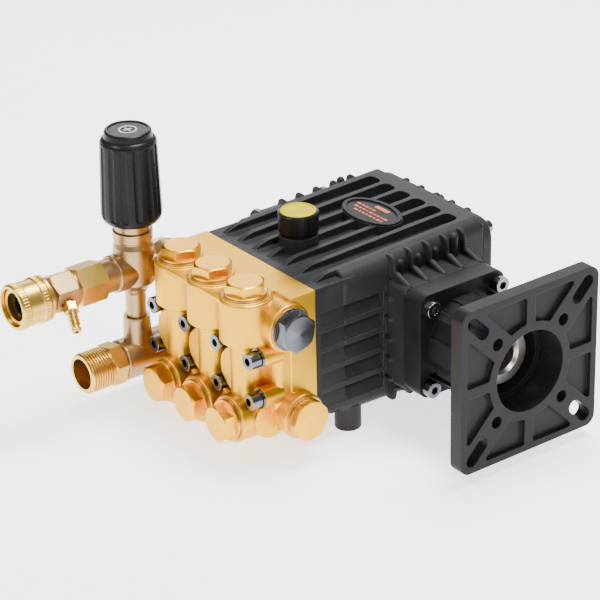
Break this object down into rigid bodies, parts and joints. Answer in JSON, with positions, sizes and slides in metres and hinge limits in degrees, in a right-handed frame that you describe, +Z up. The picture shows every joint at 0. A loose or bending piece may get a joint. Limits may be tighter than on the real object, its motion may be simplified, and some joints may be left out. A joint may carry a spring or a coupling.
{
  "type": "pressure washer pump",
  "caption": "Triplex plunger pump with brass head, finned crankcase, engine mounting flange, pressure unloader, quick coupler outlet and threaded inlet.",
  "frame": {"origin": "centre of the engine flange's mounting face, on the crankshaft axis", "axes": "+X along the shaft toward the engine, +Y toward the rear cover, away from the brass head, +Z up"},
  "size_m": [0.304, 0.351, 0.227],
  "materials": {
    "case_black": "satin",
    "flange_black": "satin",
    "head_brass": "satin",
    "cap_brass": "satin",
    "fitting_brass": "satin",
    "bright_brass": "polished",
    "zinc_screw": "satin",
    "steel_plug": "polished",
    "shaft_steel": "polished",
    "inner_steel": "satin",
    "rod_alloy": "satin",
    "white_ceramic": "polished",
    "black_rubber": "matte",
    "copper_ring": "satin",
    "knob_black": "gloss",
    "disc_silver": "satin",
    "cap_black": "satin",
    "cap_yellow": "satin",
    "gasket_grey": "matte",
    "badge_black": "satin",
    "badge_orange": "satin",
    "window_glass": "clear"
  },
  "bodies": {
    "pump": {"crankcase": "case_black", "rear_cover": "case_black", "rear_gasket": "gasket_grey", "cover_screws": "zinc_screw", "sight_glass_ring": "zinc_screw", "sight_glass_window": "window_glass", "side_cover": "case_black", "engine_flange": "flange_black", "engine_flange_screws": "zinc_screw", "shaft_seal": "black_rubber", "bearing_outer_rings": "inner_steel", "guide_oil_seals": "black_rubber", "plunger_packings": "black_rubber", "manifold": "head_brass", "head_bolts": "zinc_screw", "head_bolt_washers": "zinc_screw", "discharge_caps": "cap_brass", "suction_caps": "cap_brass", "cap_seals": "copper_ring", "discharge_plug": "steel_plug", "inlet_plug": "cap_brass", "port_washers": "copper_ring", "valve_cartridges": "inner_steel", "unloader_body": "fitting_brass", "banjo_bolt": "bright_brass", "bypass_tube": "fitting_brass", "inlet_tee": "fitting_brass", "inlet_nipple": "bright_brass", "outlet_adapter": "bright_brass", "injector_body": "fitting_brass", "injector_barb": "bright_brass", "coupler_body": "bright_brass", "coupler_seal": "black_rubber", "badge": "badge_black", "badge_bars": "badge_orange"},
    "crank": {"crankshaft": "shaft_steel", "bearing_inner_rings": "inner_steel"},
    "adjuster": {"spring_seat": "inner_steel", "unloader_spring": "inner_steel"},
    "knob": {"knob": "knob_black", "knob_disc": "disc_silver"},
    "coupler_sleeve": {"coupler_sleeve": "bright_brass"},
    "oil_cap_lift": {"oil_cap_seal": "black_rubber"},
    "oil_cap": {"oil_cap": "cap_black", "oil_cap_insert": "cap_yellow"},
    "rod_1": {"connecting_rod_1": "rod_alloy"},
    "plunger_1": {"plunger_guide_1": "inner_steel", "plunger_1": "white_ceramic"},
    "suction_valve_1": {"suction_poppet_1": "inner_steel"},
    "discharge_valve_1": {"discharge_poppet_1": "inner_steel"},
    "rod_2": {"connecting_rod_2": "rod_alloy"},
    "plunger_2": {"plunger_guide_2": "inner_steel", "plunger_2": "white_ceramic"},
    "suction_valve_2": {"suction_poppet_2": "inner_steel"},
    "discharge_valve_2": {"discharge_poppet_2": "inner_steel"},
    "rod_3": {"connecting_rod_3": "rod_alloy"},
    "plunger_3": {"plunger_guide_3": "inner_steel", "plunger_3": "white_ceramic"},
    "suction_valve_3": {"suction_poppet_3": "inner_steel"},
    "discharge_valve_3": {"discharge_poppet_3": "inner_steel"}
  },
  "joints": [
    {"name": "crank_spin", "type": "hinge", "parent": "pump", "child": "crank", "pos_m": [-0.15, 0, 0], "axis": [1, 0, 0], "continuous": true},
    {"name": "rod_1_big_end", "type": "hinge", "parent": "crank", "child": "rod_1", "pos_m": [-0.2296, 0.004, 0], "axis": [1, 0, 0], "continuous": true},
    {"name": "plunger_1_stroke", "type": "slide", "parent": "pump", "child": "plunger_1", "axis": [0, 1, 0], "range_m": [-0.008, 0]},
    {"name": "suction_valve_1_lift", "type": "slide", "parent": "pump", "child": "suction_valve_1", "axis": [0, -1, 0], "range_m": [0, 0.002], "stiffness_N_per_m": 200, "springref_m": -0.004},
    {"name": "discharge_valve_1_lift", "type": "slide", "parent": "pump", "child": "discharge_valve_1", "axis": [0, 0, 1], "range_m": [0, 0.002], "stiffness_N_per_m": 200, "springref_m": -0.004},
    {"name": "rod_2_big_end", "type": "hinge", "parent": "crank", "child": "rod_2", "pos_m": [-0.1884, -0.002, 0.00346], "axis": [1, 0, 0], "continuous": true},
    {"name": "plunger_2_stroke", "type": "slide", "parent": "pump", "child": "plunger_2", "axis": [0, 1, 0], "range_m": [-0.002, 0.006]},
    {"name": "suction_valve_2_lift", "type": "slide", "parent": "pump", "child": "suction_valve_2", "axis": [0, -1, 0], "range_m": [0, 0.002], "stiffness_N_per_m": 200, "springref_m": -0.004},
    {"name": "discharge_valve_2_lift", "type": "slide", "parent": "pump", "child": "discharge_valve_2", "axis": [0, 0, 1], "range_m": [0, 0.002], "stiffness_N_per_m": 200, "springref_m": -0.004},
    {"name": "rod_3_big_end", "type": "hinge", "parent": "crank", "child": "rod_3", "pos_m": [-0.1472, -0.002, -0.00346], "axis": [1, 0, 0], "continuous": true},
    {"name": "plunger_3_stroke", "type": "slide", "parent": "pump", "child": "plunger_3", "axis": [0, 1, 0], "range_m": [-0.002, 0.006]},
    {"name": "suction_valve_3_lift", "type": "slide", "parent": "pump", "child": "suction_valve_3", "axis": [0, -1, 0], "range_m": [0, 0.002], "stiffness_N_per_m": 200, "springref_m": -0.004},
    {"name": "discharge_valve_3_lift", "type": "slide", "parent": "pump", "child": "discharge_valve_3", "axis": [0, 0, 1], "range_m": [0, 0.002], "stiffness_N_per_m": 200, "springref_m": -0.004},
    {"name": "adjuster_travel", "type": "slide", "parent": "pump", "child": "adjuster", "axis": [0, 0, 1], "range_m": [-0.0045, 0.0015], "deforming": ["unloader_spring"]},
    {"name": "knob_turn", "type": "hinge", "parent": "adjuster", "child": "knob", "pos_m": [-0.28, -0.163, 0.11], "axis": [0, 0, 1], "range_deg": [-541, 181]},
    {"name": "coupler_sleeve_pull", "type": "slide", "parent": "pump", "child": "coupler_sleeve", "axis": [0, 1, 0], "range_m": [0, 0.0035], "stiffness_N_per_m": 1500, "springref_m": -0.004},
    {"name": "oil_cap_travel", "type": "slide", "parent": "pump", "child": "oil_cap_lift", "axis": [0, 0, 1], "range_m": [0, 0.012]},
    {"name": "oil_cap_turn", "type": "hinge", "parent": "oil_cap_lift", "child": "oil_cap", "pos_m": [-0.1884, -0.071, 0.08], "axis": [0, 0, 1], "range_deg": [-1, 1441]}
  ],
  "couplings": [
    {"joint": "rod_1_big_end", "follows": "crank_spin", "ratio": -1},
    {"joint": "rod_2_big_end", "follows": "crank_spin", "ratio": -1},
    {"joint": "rod_3_big_end", "follows": "crank_spin", "ratio": -1},
    {"joint": "knob_turn", "follows": "adjuster_travel", "rad_per_m": 2094.4},
    {"joint": "oil_cap_turn", "follows": "oil_cap_travel", "rad_per_m": 2094.4}
  ]
}
